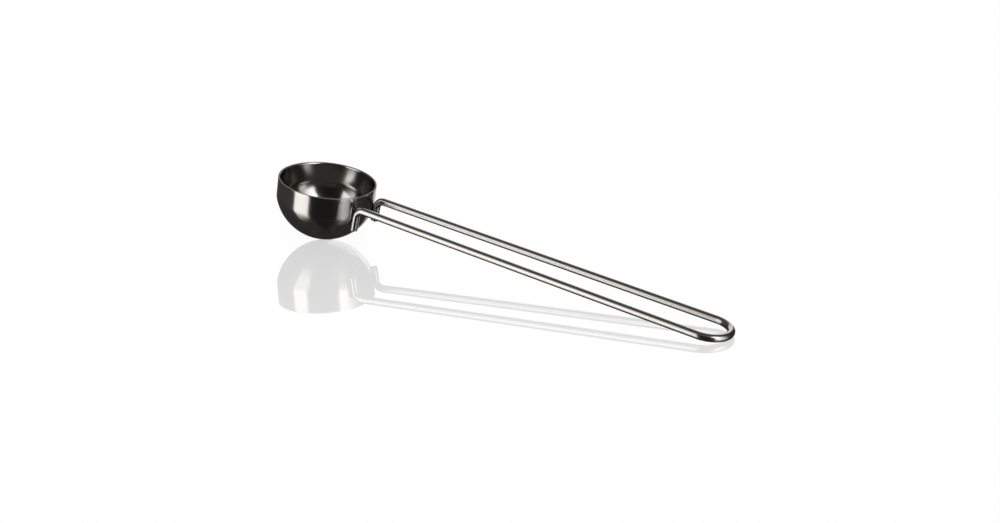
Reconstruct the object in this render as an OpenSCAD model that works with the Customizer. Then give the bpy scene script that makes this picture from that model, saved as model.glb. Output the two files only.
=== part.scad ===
// Coffee scoop: a deep-drawn steel cup welded to a long loop handle bent from one round wire.
// It lies as it comes to rest, on the cup's round bottom and the tip of the loop. The handle
// points along +X, and the origin is on the ground, below the middle of the whole outline.

/* [Cup] */
// Outer diameter of the cup at its rim
cup_d = 46; // [40:1:56]
// Thickness of the cup's wall
wall = 0.8; // [0.5:0.1:1.5]
// Height of the straight neck between the rim and the shoulder
neck_h = 9; // [8:0.5:12]
// Radius of the rounded shoulder between the neck and the round bottom
shoulder_r = 8; // [6:0.5:12]
// Depth of the shoulder and the round bottom together
bottom_h = 19.2; // [16:0.2:20]
// Radius of the two broken edges of the flat ground rim
edge_r = 0.15; // [0.1:0.05:0.2]

/* [Handle] */
// Diameter of the wire
wire_d = 3.5; // [2.5:0.25:4.5]
// Reach of the handle, from the cup's axis to the outside of the loop's tip
handle_reach = 209; // [170:1:250]
// Distance of the handle's centre line below the rim
handle_drop = 5; // [4:0.5:6]
// Width of the loop at its round tip, between the centre lines of its sides
loop_w = 20.6; // [18:0.2:26]
// How much each side closes in towards the cup, in mm for each 100 mm of its length
closing = 1; // [0.5:0.25:2]

/* [Legs] */
// Centre line radius of the bend between a side and its leg
bend_r = 3.8; // [3:0.2:5]
// Angle by which each leg leans in under the cup's shoulder
leg_lean = 4; // [2:0.5:8]
// Length of a leg's straight stretch, from its bend to its cut end
leg_l = 7; // [5:0.1:8]
// Depth to which the weld flattens a leg against the cup
weld_flat = 0.15; // [0.05:0.05:0.25]

/* [Hidden] */
$fn = 96;
cup_r = cup_d / 2;
wire_r = wire_d / 2;
inner_r = cup_r - wall;
loop_r = loop_w / 2;
tip_x = handle_reach - wire_r - loop_r;
root_r = loop_r - tip_x * closing / 100;
trim_l = 1;

// The round bottom is part of a sphere that runs on smoothly from the shoulder
shoulder_x = cup_r - shoulder_r;
shoulder_drop = bottom_h - shoulder_r;
crown_lift = (shoulder_x * shoulder_x - shoulder_drop * shoulder_drop) / (2 * shoulder_drop);
crown_r = bottom_h + crown_lift;
crown_z = crown_lift - neck_h;

// The sides are straight. Each is a tangent to a circle of radius root_r round the cup's axis.
splay = asin(closing / 100);

// In a side's own upright plane, root_r off the cup's axis, the leg's centre line touches the
// shoulder moved out by seat_r. The touch lies touch_a below the foot of the neck.
seat_r = shoulder_r + wire_r - weld_flat;
near_r = shoulder_x + seat_r * cos(leg_lean);
touch_a = atan(tan(leg_lean) * sqrt(near_r * near_r - root_r * root_r) / near_r);
touch_r = shoulder_x + seat_r * cos(touch_a);
touch_p = sqrt(touch_r * touch_r - root_r * root_r);
touch_h = neck_h + seat_r * sin(touch_a);
corner_p = touch_p + (touch_h - handle_drop) * tan(leg_lean);
turn = 90 - leg_lean;
bend_l = bend_r * tan(turn / 2);

// At rest one plane touches the round bottom and the wire at the tip
tip_dx = tip_x + loop_r;
tip_dz = -handle_drop - crown_z;
tilt = asin((crown_r - wire_r) / norm([tip_dx, tip_dz])) + atan2(tip_dz, tip_dx);
low_z = crown_z * cos(tilt) - crown_r;
left_x = -shoulder_x * cos(tilt) - shoulder_r - neck_h * sin(tilt);
right_x = tip_dx * cos(tilt) - handle_drop * sin(tilt) + wire_r;

// Half section of the cup's outside, or of its inside with the wall as inset, rim at y = 0. The
// bottom's circle is used as far as the line through its centre and the shoulder's.
module cup_half(inset) {
    far = 3 * crown_r;
    translate([0, crown_z]) intersection() {
        circle(r = crown_r - inset);
        polygon([[0, 0], [far * shoulder_x, -far * crown_lift] / (crown_r - shoulder_r), [0, -far]]);
    }
    translate([shoulder_x, -neck_h]) circle(r = shoulder_r - inset);
    translate([0, -neck_h]) square([cup_r - inset, neck_h - edge_r]);
}

// The cup's wall in section, with its flat rim between two broken edges
module cup_section() {
    difference() {
        cup_half(0);
        cup_half(wall);
    }
    translate([inner_r + edge_r, -2 * edge_r]) square([wall - 2 * edge_r, 2 * edge_r]);
    for (x = [inner_r + edge_r, cup_r - edge_r])
        translate([x, -edge_r]) circle(r = edge_r, $fn = 32);
}

// A straight length of wire along +X, and what follows it
module run(length) {
    rotate([0, 90, 0]) cylinder(r = wire_r, h = length);
    translate([length, 0, 0]) children();
}

// A bend of the wire to the left in the XY plane, and what follows it. The bend is swept a
// little too far and trimmed square, in the frame of what follows, so that the ends meet.
module bend(radius, angle) {
    translate([0, radius, 0]) rotate([0, 0, -90]) {
        difference() {
            rotate_extrude(angle = angle + trim_l / radius * 180 / PI)
                translate([radius, 0]) circle(r = wire_r);
            rotate([0, 0, angle]) translate([radius - wire_d, 0, -wire_d])
                cube([2 * wire_d, 2 * trim_l, 2 * wire_d]);
        }
        rotate([0, 0, angle]) translate([radius, 0, 0]) rotate([0, 0, 90]) children();
    }
}

// Half of the handle, from the middle of its round tip to the cut end of its leg
module half_wire() {
    translate([tip_x + loop_r, 0, -handle_drop]) rotate([0, 0, 90])
        bend(loop_r, 90 + splay) run(tip_x * cos(splay) - corner_p - bend_l)
        rotate([-90, 0, 0]) bend(bend_r, turn) run(leg_l);
}

// The whole wire with the cup's rim level
module level_wire() {
    half_wire();
    mirror([0, 1, 0]) half_wire();
}

// Tips the level scoop to its rest and centres its outline over the origin
module at_rest() {
    translate([-(left_x + right_x) / 2, 0, -low_z]) rotate([0, tilt, 0]) children();
}

module cup() {
    color("silver") at_rest() rotate_extrude() cup_section();
}

module handle() {
    color("lightgray") at_rest() difference() {
        level_wire();
        rotate_extrude() cup_half(0);
    }
}

cup();
handle();
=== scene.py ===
import math

import bpy
from mathutils import Matrix, Vector


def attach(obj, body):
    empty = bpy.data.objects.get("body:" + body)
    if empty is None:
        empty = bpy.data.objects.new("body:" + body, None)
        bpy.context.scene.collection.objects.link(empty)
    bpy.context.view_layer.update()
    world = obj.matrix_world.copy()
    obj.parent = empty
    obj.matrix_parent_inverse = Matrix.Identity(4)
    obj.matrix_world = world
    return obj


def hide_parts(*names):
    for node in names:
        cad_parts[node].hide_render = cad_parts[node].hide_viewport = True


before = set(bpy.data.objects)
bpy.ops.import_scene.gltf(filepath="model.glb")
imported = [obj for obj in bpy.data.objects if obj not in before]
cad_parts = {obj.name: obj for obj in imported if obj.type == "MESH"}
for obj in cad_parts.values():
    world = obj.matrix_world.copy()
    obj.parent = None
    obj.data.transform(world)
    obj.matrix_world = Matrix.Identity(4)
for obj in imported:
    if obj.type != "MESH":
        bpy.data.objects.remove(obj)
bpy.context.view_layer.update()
scene = bpy.context.scene

MM = 0.001

# The scoop's sizes in mm, as in part.scad. Level frame: rim at z = 0, cup's axis on Z, handle along +X.
CUP_R = 23.0
WALL = 0.8
NECK_H = 9.0
SHOULDER_R = 8.0
BOTTOM_H = 19.2
EDGE_R = 0.15
WIRE_R = 1.75
REACH = 209.0
DROP = 5.0
LOOP_R = 10.3
CLOSING = 0.01
BEND_R = 3.8
LEAN = math.radians(4)
LEG_L = 7.0
WELD_FLAT = 0.15

# The round bottom is part of a sphere that runs on smoothly from the shoulder.
SHOULDER_X = CUP_R - SHOULDER_R
SHOULDER_DROP = BOTTOM_H - SHOULDER_R
CROWN_LIFT = (SHOULDER_X ** 2 - SHOULDER_DROP ** 2) / (2 * SHOULDER_DROP)
CROWN_R = BOTTOM_H + CROWN_LIFT
CROWN_Z = CROWN_LIFT - NECK_H
SHOULDER_END = math.atan2(CROWN_LIFT, SHOULDER_X)

# Where each leg touches the shoulder, in the upright plane of its side.
TIP_X = REACH - WIRE_R - LOOP_R
ROOT_R = LOOP_R - TIP_X * CLOSING
SPLAY = math.asin(CLOSING)
SEAT_R = SHOULDER_R + WIRE_R - WELD_FLAT
NEAR_R = SHOULDER_X + SEAT_R * math.cos(LEAN)
TOUCH_A = math.atan(math.tan(LEAN) * math.sqrt(NEAR_R ** 2 - ROOT_R ** 2) / NEAR_R)
TOUCH_P = math.sqrt((SHOULDER_X + SEAT_R * math.cos(TOUCH_A)) ** 2 - ROOT_R ** 2)
TOUCH_H = NECK_H + SEAT_R * math.sin(TOUCH_A)
CORNER = TOUCH_P + (TOUCH_H - DROP) * math.tan(LEAN)
TURN = math.pi / 2 - LEAN
BEND_L = BEND_R * math.tan(TURN / 2)
SIDE_L = TIP_X * math.cos(SPLAY) - CORNER - BEND_L

# The rest: one plane touches the round bottom and the wire at the tip.
TIP_DX = TIP_X + LOOP_R
TIP_DZ = -DROP - CROWN_Z
TILT = math.asin((CROWN_R - WIRE_R) / math.hypot(TIP_DX, TIP_DZ)) + math.atan2(TIP_DZ, TIP_DX)
LOW_Z = CROWN_Z * math.cos(TILT) - CROWN_R
LEFT_X = -SHOULDER_X * math.cos(TILT) - SHOULDER_R - NECK_H * math.sin(TILT)
RIGHT_X = TIP_DX * math.cos(TILT) - DROP * math.sin(TILT) + WIRE_R
REST = Matrix.Translation(Vector((-(LEFT_X + RIGHT_X) / 2, 0, -LOW_Z)) * MM) @ Matrix.Rotation(TILT, 4, "Y")
BOWL = REST @ Vector((0, 0, -NECK_H * MM))

# Only the scene has these: the rounding of the wire's cut ends in mm, and how many faces run round.
CUT_ROUND = 0.25
CUP_AROUND = 224
WIRE_AROUND = 48


# Shapes

def new_object(name, verts, faces, uvs=None):
    """A smooth mesh object from points in mm and faces, with one UV for each face corner."""
    mesh = bpy.data.meshes.new(name)
    mesh.from_pydata([Vector(v) * MM for v in verts], [], faces)
    if uvs is not None:
        layer = mesh.uv_layers.new(name="run")
        for loop in mesh.loops:
            layer.data[loop.index].uv = uvs[loop.vertex_index]
    for polygon in mesh.polygons:
        polygon.use_smooth = True
    mesh.validate()
    mesh.update()
    obj = bpy.data.objects.new(name, mesh)
    scene.collection.objects.link(obj)
    return obj


def arc(cx, cz, r, start, end, steps):
    """Points of an arc in the section plane after its first point, with its angles in radians."""
    angles = [start + (end - start) * i / steps for i in range(1, steps + 1)]
    return [(cx + r * math.cos(a), cz + r * math.sin(a)) for a in angles]


def line(start, end, steps):
    """Points of a straight stretch of the section after its first point."""
    return [tuple(a + (b - a) * i / steps for a, b in zip(start, end)) for i in range(1, steps + 1)]


def cup_side(inset):
    """One side of the cup's wall in section, from near its lowest point up to the foot of the rim's edge."""
    low = -math.pi / 2
    points = arc(0, CROWN_Z, CROWN_R - inset, low, -SHOULDER_END, 52)
    points += arc(SHOULDER_X, -NECK_H, SHOULDER_R - inset, -SHOULDER_END, 0, 14)
    points += line((CUP_R - inset, -NECK_H), (CUP_R - inset, -EDGE_R), 10)
    return points


def cup_shell():
    """The deep-drawn cup: its outside, the ground rim with two broken edges, and its inside."""
    inner = CUP_R - WALL
    quarter = math.pi / 2
    section = cup_side(0)
    section += arc(CUP_R - EDGE_R, -EDGE_R, EDGE_R, 0, quarter, 6)
    section += line((CUP_R - EDGE_R, 0), (inner + EDGE_R, 0), 4)
    section += arc(inner + EDGE_R, -EDGE_R, EDGE_R, quarter, 2 * quarter, 5)
    section += reversed(cup_side(WALL))
    around = CUP_AROUND
    verts = []
    for r, z in section:
        for k in range(around):
            t = 2 * math.pi * k / around
            verts.append((r * math.cos(t), r * math.sin(t), z))
    low_out, low_in = len(verts), len(verts) + 1
    verts += [(0, 0, CROWN_Z - CROWN_R), (0, 0, CROWN_Z - CROWN_R + WALL)]
    faces = []
    for j in range(len(section) - 1):
        for k in range(around):
            a, b = j * around + k, j * around + (k + 1) % around
            faces.append((a, b, b + around, a + around))
    last = (len(section) - 1) * around
    for k in range(around):
        faces.append((low_out, (k + 1) % around, k))
        faces.append((low_in, last + k, last + (k + 1) % around))
    obj = new_object("cup_shell", verts, faces)
    obj.matrix_world = REST
    return obj


def half_path():
    """Points of the wire's centre line, from the middle of the round tip to the cut end of the leg at +Y."""
    tip_steps, side_steps, bend_steps, leg_steps = 44, 60, 26, 16
    points = []
    end = math.pi / 2 + SPLAY
    for i in range(tip_steps + 1):
        t = end * i / tip_steps
        points.append(Vector((TIP_X + LOOP_R * math.cos(t), LOOP_R * math.sin(t), -DROP)))
    along = Vector((-math.cos(SPLAY), -math.sin(SPLAY), 0))
    start = points[-1]
    points += [start + along * (SIDE_L * i / side_steps) for i in range(1, side_steps + 1)]
    centre = points[-1] + Vector((0, 0, -BEND_R))
    for i in range(1, bend_steps + 1):
        t = TURN * i / bend_steps
        points.append(centre + along * (BEND_R * math.sin(t)) + Vector((0, 0, BEND_R * math.cos(t))))
    down = along * math.cos(TURN) + Vector((0, 0, -math.sin(TURN)))
    start = points[-1]
    points += [start + down * (LEG_L * i / leg_steps) for i in range(1, leg_steps + 1)]
    return points


def bears_on_cup(p):
    """Moves a point that lies inside the cup's outer form out to its surface."""
    away = Vector((p.x, p.y, 0)).normalized()
    r = math.hypot(p.x, p.y)
    if p.z > -NECK_H:
        centre, size = Vector((0, 0, p.z)), CUP_R
    elif math.atan2(CROWN_Z - p.z, r) > SHOULDER_END:
        centre, size = Vector((0, 0, CROWN_Z)), CROWN_R
    else:
        centre, size = away * SHOULDER_X + Vector((0, 0, -NECK_H)), SHOULDER_R
    offset = p - centre
    return centre + offset * (size / offset.length) if offset.length < size else p


def handle_wire():
    """One round wire swept along its path, with both cut ends slightly rounded."""
    half = half_path()
    path = [Vector((p.x, -p.y, p.z)) for p in reversed(half[1:])] + half
    around = WIRE_AROUND
    tangents = []
    for i, p in enumerate(path):
        a, b = path[max(0, i - 1)], path[min(len(path) - 1, i + 1)]
        tangents.append((b - a).normalized())
    up = Vector((0, 1, 0)).cross(tangents[0]).normalized()
    rings = []
    length = 0.0
    for i, p in enumerate(path):
        if i:
            length += (p - path[i - 1]).length
            turn = tangents[i - 1].rotation_difference(tangents[i])
            up = turn @ up
        up = (up - tangents[i] * up.dot(tangents[i])).normalized()
        side = tangents[i].cross(up)
        rings.append([p, tangents[i], up.copy(), side, WIRE_R, length])
    # Rounded edges of the two cut ends
    head, tail = [], []
    steps = 6
    for k in range(steps, 0, -1):
        t = math.pi / 2 * k / steps
        r = WIRE_R - CUT_ROUND * (1 - math.cos(t))
        back = CUT_ROUND * (1 - math.sin(t))
        p, tan, u, s, _, l = rings[0]
        head.append([p + tan * back, tan, u, s, r, l + back])
        p, tan, u, s, _, l = rings[-1]
        tail.insert(0, [p - tan * back, tan, u, s, r, l - back])
    rings[0][0] = rings[0][0] + rings[0][1] * CUT_ROUND
    rings[-1][0] = rings[-1][0] - rings[-1][1] * CUT_ROUND
    rings = head + rings + tail
    total = rings[-1][5]
    verts, uvs = [], []
    for p, tan, u, s, r, l in rings:
        for k in range(around):
            t = 2 * math.pi * k / around
            verts.append(bears_on_cup(p + (u * math.cos(t) + s * math.sin(t)) * r))
            uvs.append((k / around, l / total))
    faces = []
    for j in range(len(rings) - 1):
        for k in range(around):
            a, b = j * around + k, j * around + (k + 1) % around
            faces.append((a, a + around, b + around, b))
    for ring, centre, flip in ((0, rings[0][0], False), (len(rings) - 1, rings[-1][0], True)):
        mid = len(verts)
        verts.append(centre)
        uvs.append((0.5, 0.0 if ring == 0 else 1.0))
        inner = []
        for k in range(around):
            inner.append(len(verts))
            edge = verts[ring * around + k]
            verts.append(centre + (edge - centre) * 0.55)
            uvs.append((k / around, 0.0 if ring == 0 else 1.0))
        for k in range(around):
            a, b = ring * around + k, ring * around + (k + 1) % around
            c, d = inner[k], inner[(k + 1) % around]
            faces.append((b, a, c, d) if flip else (a, b, d, c))
            faces.append((d, c, mid) if flip else (c, d, mid))
    obj = new_object("handle_wire", verts, faces, uvs)
    obj.matrix_world = REST
    return obj


# Materials

CUP_COLOUR = (0.56, 0.55, 0.53)
WIRE_COLOUR = (0.58, 0.57, 0.55)
TINT = (0.97, 0.965, 0.955)
# Painted shade: the rim's colour is darkened to this share of the steel's colour.
RIM_PAINTED_SHADE = 0.6
RIM_FROM = -0.08
RIM_BLEND = 0.05
SHEET_IOR = 1.49


def node_tree(name):
    """An empty node material, with its nodes and links."""
    mat = bpy.data.materials.new(name)
    mat.use_nodes = True
    nodes, links = mat.node_tree.nodes, mat.node_tree.links
    nodes.clear()
    return mat, nodes, links


def steel(name, colour, coordinates, least_roughness, ground_and_shade_above=None):
    """Polished stainless steel with fine lines from its polishing and slight variation of its shine.

    Above a height in the piece's own frame, in mm, the steel is ground and not polished, so it is rougher
    there. Its colour there is also darkened, which is painted shade.
    """
    mat, nodes, links = node_tree(name)
    out = nodes.new("ShaderNodeOutputMaterial")
    bsdf = nodes.new("ShaderNodeBsdfPrincipled")
    bsdf.inputs["Metallic"].default_value = 1.0
    links.new(bsdf.outputs[0], out.inputs[0])
    lines_vec, broad_vec = coordinates(nodes, links)

    lines = nodes.new("ShaderNodeTexNoise")
    lines.inputs["Scale"].default_value = 1.0
    lines.inputs["Detail"].default_value = 3.0
    lines.inputs["Roughness"].default_value = 0.65
    links.new(lines_vec, lines.inputs["Vector"])

    broad = nodes.new("ShaderNodeTexNoise")
    broad.inputs["Scale"].default_value = 90.0
    broad.inputs["Detail"].default_value = 4.0
    links.new(broad_vec, broad.inputs["Vector"])

    tint = nodes.new("ShaderNodeMapRange")
    tint.inputs["From Min"].default_value = 0.3
    tint.inputs["From Max"].default_value = 0.7
    links.new(broad.outputs["Fac"], tint.inputs["Value"])
    mix = nodes.new("ShaderNodeMix")
    mix.data_type = "RGBA"
    links.new(tint.outputs["Result"], mix.inputs["Factor"])
    mix.inputs["A"].default_value = (*(c * t for c, t in zip(colour, TINT)), 1)
    mix.inputs["B"].default_value = (*colour, 1)
    shade = mix.outputs["Result"]

    shine = nodes.new("ShaderNodeMath")
    shine.operation = "MULTIPLY_ADD"
    links.new(lines.outputs["Fac"], shine.inputs[0])
    shine.inputs[1].default_value = 0.10
    shine.inputs[2].default_value = least_roughness
    blotch = nodes.new("ShaderNodeMath")
    blotch.operation = "MULTIPLY_ADD"
    links.new(broad.outputs["Fac"], blotch.inputs[0])
    blotch.inputs[1].default_value = 0.05
    links.new(shine.outputs[0], blotch.inputs[2])
    roughness = blotch.outputs[0]
    if ground_and_shade_above is not None:
        height = nodes.new("ShaderNodeSeparateXYZ")
        links.new(broad_vec, height.inputs[0])
        ground = nodes.new("ShaderNodeMapRange")
        ground.inputs["From Min"].default_value = (ground_and_shade_above - RIM_BLEND) * MM
        ground.inputs["From Max"].default_value = (ground_and_shade_above + RIM_BLEND) * MM
        links.new(height.outputs["Z"], ground.inputs["Value"])
        total = nodes.new("ShaderNodeMath")
        total.operation = "MULTIPLY_ADD"
        links.new(ground.outputs["Result"], total.inputs[0])
        total.inputs[1].default_value = 0.4
        links.new(roughness, total.inputs[2])
        roughness = total.outputs[0]
        # Painted shade: the rim's colour is darkened here, on top of its rougher ground finish.
        rim = nodes.new("ShaderNodeMix")
        rim.data_type = "RGBA"
        links.new(ground.outputs["Result"], rim.inputs["Factor"])
        links.new(shade, rim.inputs["A"])
        rim.inputs["B"].default_value = (*(c * RIM_PAINTED_SHADE for c in colour), 1)
        shade = rim.outputs["Result"]
    links.new(shade, bsdf.inputs["Base Color"])
    links.new(roughness, bsdf.inputs["Roughness"])

    bump = nodes.new("ShaderNodeBump")
    bump.inputs["Strength"].default_value = 0.12
    bump.inputs["Distance"].default_value = 0.00002
    links.new(lines.outputs["Fac"], bump.inputs["Height"])
    links.new(bump.outputs["Normal"], bsdf.inputs["Normal"])
    return mat


def turned(nodes, links):
    """Coordinates for lines that run round the cup's axis, which is the piece's own Z."""
    coord = nodes.new("ShaderNodeTexCoord")
    scale = nodes.new("ShaderNodeMapping")
    scale.inputs["Scale"].default_value = (120.0, 120.0, 5200.0)
    links.new(coord.outputs["Object"], scale.inputs["Vector"])
    return scale.outputs["Vector"], coord.outputs["Object"]


def drawn(nodes, links):
    """Coordinates for lines that run along the wire, from how far round and how far along a point is."""
    uv = nodes.new("ShaderNodeUVMap")
    uv.uv_map = "run"
    split = nodes.new("ShaderNodeSeparateXYZ")
    links.new(uv.outputs["UV"], split.inputs[0])
    angle = nodes.new("ShaderNodeMath")
    angle.operation = "MULTIPLY"
    angle.inputs[1].default_value = 2 * math.pi
    links.new(split.outputs["X"], angle.inputs[0])
    parts = []
    for operation in ("COSINE", "SINE"):
        wave = nodes.new("ShaderNodeMath")
        wave.operation = operation
        links.new(angle.outputs[0], wave.inputs[0])
        size = nodes.new("ShaderNodeMath")
        size.operation = "MULTIPLY"
        size.inputs[1].default_value = 9.0
        links.new(wave.outputs[0], size.inputs[0])
        parts.append(size)
    run = nodes.new("ShaderNodeMath")
    run.operation = "MULTIPLY"
    run.inputs[1].default_value = 60.0
    links.new(split.outputs["Y"], run.inputs[0])
    join = nodes.new("ShaderNodeCombineXYZ")
    links.new(parts[0].outputs[0], join.inputs["X"])
    links.new(parts[1].outputs[0], join.inputs["Y"])
    links.new(run.outputs[0], join.inputs["Z"])
    coord = nodes.new("ShaderNodeTexCoord")
    return join.outputs[0], coord.outputs["Object"]


def after_bounce(nodes, links, bounces):
    """One for light that has bounced more often than that, nought for the rest."""
    path = nodes.new("ShaderNodeLightPath")
    later = nodes.new("ShaderNodeMath")
    later.operation = "GREATER_THAN"
    later.inputs[1].default_value = bounces + 0.5
    links.new(path.outputs["Ray Depth"], later.inputs[0])
    return later.outputs[0]


def emitter(nodes, colour, strength):
    """An emission shader of one colour and strength."""
    emission = nodes.new("ShaderNodeEmission")
    emission.inputs["Color"].default_value = (*colour, 1)
    emission.inputs["Strength"].default_value = strength
    return emission


def clear_in_floor(nodes, links, shader):
    """Outputs the shader of a card, and leaves the card clear where the floor mirrors it to the camera.

    Such light has bounced once and has come through the front of the acrylic sheet, and the card is above it.
    """
    path = nodes.new("ShaderNodeLightPath")
    place = nodes.new("ShaderNodeNewGeometry")
    split = nodes.new("ShaderNodeSeparateXYZ")
    links.new(place.outputs["Position"], split.inputs[0])
    tests = []
    for source, operation, limit in (
        (path.outputs["Ray Depth"], "LESS_THAN", 1.5),
        (path.outputs["Transparent Depth"], "GREATER_THAN", 0.5),
        (split.outputs["Z"], "GREATER_THAN", 0.0),
    ):
        test = nodes.new("ShaderNodeMath")
        test.operation = operation
        links.new(source, test.inputs[0])
        test.inputs[1].default_value = limit
        tests.append(test.outputs[0])
    share = tests[0]
    for test in tests[1:]:
        both = nodes.new("ShaderNodeMath")
        both.operation = "MULTIPLY"
        links.new(share, both.inputs[0])
        links.new(test, both.inputs[1])
        share = both.outputs[0]
    clear = nodes.new("ShaderNodeBsdfTransparent")
    choice = nodes.new("ShaderNodeMixShader")
    links.new(share, choice.inputs["Fac"])
    links.new(shader, choice.inputs[1])
    links.new(clear.outputs[0], choice.inputs[2])
    out = nodes.new("ShaderNodeOutputMaterial")
    links.new(choice.outputs[0], out.inputs[0])


def glow(name, colour, strength):
    """A studio card that gives off an even, dim light."""
    mat, nodes, links = node_tree(name)
    clear_in_floor(nodes, links, emitter(nodes, colour, strength).outputs[0])
    return mat


def softbox_face(name, colour):
    """The face of a softbox. Its mesh holds the strength; many bounces inside the cup dim it further."""
    mat, nodes, links = node_tree(name)
    level = nodes.new("ShaderNodeAttribute")
    level.attribute_name = "level"
    share = nodes.new("ShaderNodeMath")
    share.operation = "MULTIPLY_ADD"
    links.new(after_bounce(nodes, links, 2), share.inputs[0])
    share.inputs[1].default_value = -0.8
    share.inputs[2].default_value = 1.0
    strength = nodes.new("ShaderNodeMath")
    strength.operation = "MULTIPLY"
    links.new(level.outputs["Fac"], strength.inputs[0])
    links.new(share.outputs[0], strength.inputs[1])
    emission = emitter(nodes, colour, 1.0)
    links.new(strength.outputs[0], emission.inputs["Strength"])
    clear_in_floor(nodes, links, emission.outputs[0])
    return mat


def veil(name, colour, strength):
    """A card that is clear for light on its first bounce and gives off a dim light for later ones."""
    mat, nodes, links = node_tree(name)
    out = nodes.new("ShaderNodeOutputMaterial")
    clear = nodes.new("ShaderNodeBsdfTransparent")
    choice = nodes.new("ShaderNodeMixShader")
    links.new(after_bounce(nodes, links, 1), choice.inputs["Fac"])
    links.new(clear.outputs[0], choice.inputs[1])
    links.new(emitter(nodes, colour, strength).outputs[0], choice.inputs[2])
    links.new(choice.outputs[0], out.inputs[0])
    return mat


def acrylic_front(name, frost):
    """Front of a clear acrylic sheet. Its slight frost keeps the shadow and shows to the camera only."""
    mat, nodes, links = node_tree(name)
    out = nodes.new("ShaderNodeOutputMaterial")
    clear = nodes.new("ShaderNodeBsdfTransparent")
    pale = nodes.new("ShaderNodeBsdfDiffuse")
    pale.inputs["Color"].default_value = (1, 1, 1, 1)
    seen = nodes.new("ShaderNodeLightPath")
    share = nodes.new("ShaderNodeMath")
    share.operation = "MULTIPLY"
    share.inputs[1].default_value = frost
    links.new(seen.outputs["Is Camera Ray"], share.inputs[0])
    body = nodes.new("ShaderNodeMixShader")
    links.new(share.outputs[0], body.inputs["Fac"])
    links.new(clear.outputs[0], body.inputs[1])
    links.new(pale.outputs[0], body.inputs[2])
    links.new(body.outputs[0], out.inputs[0])
    return mat


def acrylic_back(name, shine, limit):
    """Back of the acrylic sheet, which mirrors part of the light, more of it at a low angle."""
    mat, nodes, links = node_tree(name)
    out = nodes.new("ShaderNodeOutputMaterial")
    clear = nodes.new("ShaderNodeBsdfTransparent")
    mirror = nodes.new("ShaderNodeBsdfGlossy")
    mirror.inputs["Color"].default_value = (1, 1, 1, 1)
    mirror.inputs["Roughness"].default_value = 0.02
    fresnel = nodes.new("ShaderNodeFresnel")
    fresnel.inputs["IOR"].default_value = SHEET_IOR
    gain = nodes.new("ShaderNodeMath")
    gain.operation = "MULTIPLY"
    gain.inputs[1].default_value = shine
    links.new(fresnel.outputs[0], gain.inputs[0])
    most = nodes.new("ShaderNodeMath")
    most.operation = "MINIMUM"
    most.inputs[1].default_value = limit
    links.new(gain.outputs[0], most.inputs[0])
    body = nodes.new("ShaderNodeMixShader")
    links.new(most.outputs[0], body.inputs["Fac"])
    links.new(clear.outputs[0], body.inputs[1])
    links.new(mirror.outputs[0], body.inputs[2])
    links.new(body.outputs[0], out.inputs[0])
    return mat


# Pieces

cup = cup_shell()
cup.data.materials.append(steel("cup_steel_look", CUP_COLOUR, turned, 0.075, RIM_FROM))
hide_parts("cup")
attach(cup, "root")

wire = handle_wire()
wire.data.materials.append(steel("wire_steel_look", WIRE_COLOUR, drawn, 0.13))
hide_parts("handle")
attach(wire, "root")

# Camera

CAM_PLACE = (0.35592, -0.63625, 0.28553)
CAM_AZ, CAM_EL, CAM_ROLL = math.radians(-60.939), math.radians(20.794), math.radians(2.806)
CAM_LENS = 62.76
back = Vector((math.cos(CAM_EL) * math.cos(CAM_AZ), math.cos(CAM_EL) * math.sin(CAM_AZ), math.sin(CAM_EL)))
right = (-back).cross(Vector((0, 0, 1))).normalized()
above = right.cross(-back)
cam_x = right * math.cos(CAM_ROLL) + above * math.sin(CAM_ROLL)
cam_y = above * math.cos(CAM_ROLL) - right * math.sin(CAM_ROLL)
camera = bpy.data.objects.new("camera", bpy.data.cameras.new("camera"))
camera.data.sensor_width = 36.0
camera.data.lens = CAM_LENS
camera.data.clip_start = 0.01
camera.data.clip_end = 50.0
facing = Matrix((cam_x, cam_y, back)).transposed().to_4x4()
camera.matrix_world = Matrix.Translation(CAM_PLACE) @ facing
scene.collection.objects.link(camera)
scene.camera = camera

# Studio

LINING_R = 4.0
VEIL_R = 3.9
LINING_COLOUR = (1, 0.97, 0.95)
ABOVE_COLOUR = (1, 0.93, 0.88)
SOFTBOX_COLOUR = (1, 0.99, 0.97)
SIDE_LEVEL = 0.035
SHEET = 4.4
AHEAD = Vector((-back.x, -back.y, 0)).normalized()
ASIDE = Vector((AHEAD.y, -AHEAD.x, 0))


def toward(az, el=0.0):
    """Direction at an azimuth from the camera's own, to the right, and an elevation, in degrees."""
    a, e = math.radians(az), math.radians(el)
    return (AHEAD * math.cos(a) + ASIDE * math.sin(a)) * math.cos(e) + Vector((0, 0, math.sin(e)))


def stage_mesh(name, verts, faces, mat, **hidden):
    """A mesh of the studio, which isn't part of the object. hidden sets its visibility to kinds of ray."""
    mesh = bpy.data.meshes.new(name)
    mesh.from_pydata(verts, [], faces)
    mesh.materials.append(mat)
    obj = bpy.data.objects.new(name, mesh)
    scene.collection.objects.link(obj)
    for key, value in hidden.items():
        setattr(obj, key, value)
    return obj


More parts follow.
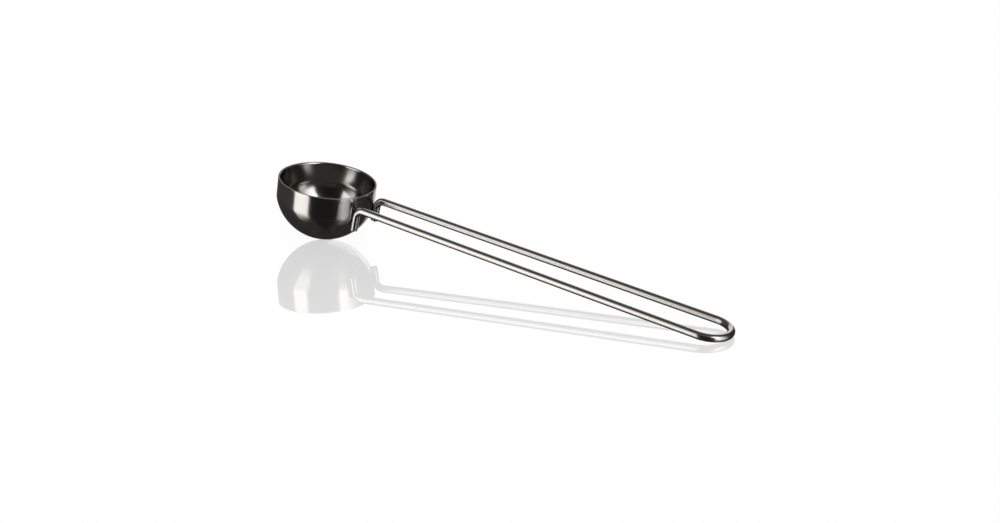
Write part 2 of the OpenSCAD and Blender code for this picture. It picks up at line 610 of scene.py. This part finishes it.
def softbox(name, near, far, rows):
    """An upright softbox that fades towards its ends.

    The edges near and far are pairs of azimuth and distance from the cup. Each row is an elevation with
    the azimuth and strength at both of its ends. The strength changes most at the first of them.
    """
    cells, margin, power = 8, 0.09, 1.3
    shares = [-margin] + [i / cells for i in range(cells + 1)] + [1 + margin]
    columns = len(shares)
    verts, levels, faces = [], [], []
    for el, az0, az1, level0, level1 in rows:
        for share in shares:
            az = az0 + (az1 - az0) * share
            distance = near[1] + (far[1] - near[1]) * (az - near[0]) / (far[0] - near[0])
            rise = Vector((0, 0, distance * math.tan(math.radians(el))))
            verts.append(BOWL + toward(az) * distance + rise)
            if 0 <= share <= 1:
                levels.append(level0 + (level1 - level0) * math.sin(share * math.pi / 2) ** power)
            else:
                levels.append(0)
    for j in range(len(rows) - 1):
        for k in range(columns - 1):
            a = j * columns + k
            faces.append((a, a + 1, a + 1 + columns, a + columns))
    obj = stage_mesh(name, verts, faces, softbox_face(name, SOFTBOX_COLOUR), visible_camera=False)
    layer = obj.data.attributes.new("level", "FLOAT", "POINT")
    layer.data.foreach_set("value", levels)
    return obj


softbox("softbox_left", (-105, 0.5), (-142, 1.6), [
    (62, -113, -137, 0, 0),
    (54, -111, -139, 0.25, 0.25),
    (47, -109, -141, 0.5, 0.5),
    (40, -109, -141, 0.85, 0.85),
    (32, -109, -141.5, 1.35, 1.35),
    (24, -109, -141.5, 1.7, 1.7),
    (10, -109, -141.5, 1.85, 1.85),
    (-8, -109, -141.5, 1.85, 1.85),
    (-18, -109, -141.5, 1.65, 1.65),
    (-24, -108.5, -141.5, 1.5, 1.5),
    (-29, -107.5, -140.5, 1.22, 1.22),
    (-36, -105.5, -138.5, 1.0, 1.0),
    (-42, -103, -137, 0.75, 0.75),
    (-47, -101.5, -134.5, 0.48, 0.48),
    (-51, -104, -130.5, 0.24, 0.24),
    (-55, -108, -128.5, 0.09, 0.09),
    (-60, -112, -127, 0, 0),
])
softbox("softbox_right", (97, 0.72), (141, 1.1), [
    (54, 126, 143, 0, 0),
    (50, 125, 145, 1.3, 1.3),
    (45, 121, 146, 2.6, 2.6),
    (40, 117, 145.5, 2.7, 2.7),
    (36, 113, 145, 2.6, 2.7),
    (31, 105, 145, 1.0, 2.7),
    (26, 98, 142, 0.1, 2.1),
    (22, 97, 141, 0.1, 2.0),
    (0, 97, 140.5, 0.1, 1.95),
    (-14, 97, 139.5, 0.1, 1.9),
    (-18, 97, 138.5, 0.05, 1.2),
    (-22, 97, 138, 0.05, 0.7),
    (-26, 97, 137.5, 0.05, 0.48),
    (-30, 98, 137, 0.08, 0.45),
    (-35, 99, 135, 0.12, 0.42),
    (-40, 100, 133, 0.14, 0.38),
    (-46, 100, 131.5, 0.13, 0.4),
    (-52, 99, 130.5, 0.12, 0.33),
    (-58, 98, 129.5, 0.1, 0.25),
    (-63, 98, 128, 0.08, 0.16),
    (-67, 100, 127, 0.05, 0.08),
    (-71, 105, 124, 0, 0),
])


def part_of_sphere(name, radius, keep, mats, pick):
    """Cells of two degrees of a sphere round the cup.

    By a cell's azimuth and elevation, keep tells if it is built and pick gives its material's number.
    """
    step = 2
    verts, faces, slots = [], [], []
    azs = list(range(-180, 180, step))
    els = list(range(-90, 91, step))
    for el in els:
        for az in azs:
            verts.append(BOWL + toward(az, el) * radius)
    for j in range(len(els) - 1):
        for k in range(len(azs)):
            az, el = azs[k] + step / 2, els[j] + step / 2
            if keep(az, el):
                a, b = j * len(azs) + k, j * len(azs) + (k + 1) % len(azs)
                faces.append((a, b, b + len(azs), a + len(azs)))
                slots.append(pick(az, el))
    obj = stage_mesh(name, verts, faces, mats[0], visible_camera=False, visible_diffuse=False)
    for mat in mats[1:]:
        obj.data.materials.append(mat)
    for polygon, slot in zip(obj.data.polygons, slots):
        polygon.material_index = slot
    return obj


def upper_window(az, el):
    return -26 < az < 38 and 8 < el < 36


def lower_window(az, el):
    return -4 < az < 38 and -28 < el < 8


def lining_tone(az, el):
    """Darkest behind the camera, dark at the sides, paler above, and half bright under the window."""
    if abs(az) > 146 and el < 40:
        return 0
    if -4 < az < 38 and -36 < el < -28:
        return 3
    return 2 if el > 12 else 1


part_of_sphere(
    "dark_lining",
    LINING_R,
    lambda az, el: not upper_window(az, el) and not lower_window(az, el),
    [
        glow("lining_behind", LINING_COLOUR, 0.012),
        glow("lining_side", LINING_COLOUR, SIDE_LEVEL),
        glow("lining_above", ABOVE_COLOUR, 0.085),
        glow("window_edge", (1, 1, 1), 0.45),
    ],
    lining_tone,
)
part_of_sphere(
    "window_veil",
    VEIL_R,
    upper_window,
    [veil("window_veil", ABOVE_COLOUR, 0.1)],
    lambda az, el: 0,
)
FLAG_AZ, FLAG_R, FLAG_LOW, FLAG_HIGH = (31, 80), 1.8, -1.9, 1.6
near_edge, far_edge = [BOWL + toward(az) * FLAG_R for az in FLAG_AZ]
flag_corners = ((near_edge, FLAG_LOW), (far_edge, FLAG_LOW), (far_edge, FLAG_HIGH), (near_edge, FLAG_HIGH))
stage_mesh(
    "dark_flag",
    [p + Vector((0, 0, z)) for p, z in flag_corners],
    [(0, 1, 2, 3)],
    glow("dark_flag", LINING_COLOUR, SIDE_LEVEL),
    visible_camera=False,
    visible_diffuse=False,
)

# The back of the sheet slopes a little under the scoop, as the photograph's reflection shows.
for name, profile, mat in (
    ("acrylic_front", ((-SHEET, 0), (SHEET, 0)), acrylic_front("acrylic_front", 0.04)),
    (
        "acrylic_back",
        ((-SHEET, -0.0017), (-0.14, -0.0017), (0.125, -0.0001), (SHEET, -0.0001)),
        acrylic_back("acrylic_back", 2.05, 0.45),
    ),
):
    corners = [(x, y, z) for x, z in profile for y in (-SHEET, SHEET)]
    strips = [(i, i + 2, i + 3, i + 1) for i in range(0, len(corners) - 2, 2)]
    stage_mesh(name, corners, strips, mat)

world = bpy.data.worlds.new("white_background")
world.use_nodes = True
world.node_tree.nodes["Background"].inputs["Color"].default_value = (1, 1, 1, 1)
world.node_tree.nodes["Background"].inputs["Strength"].default_value = 1.0
scene.world = world
scene.view_settings.view_transform = "Standard"
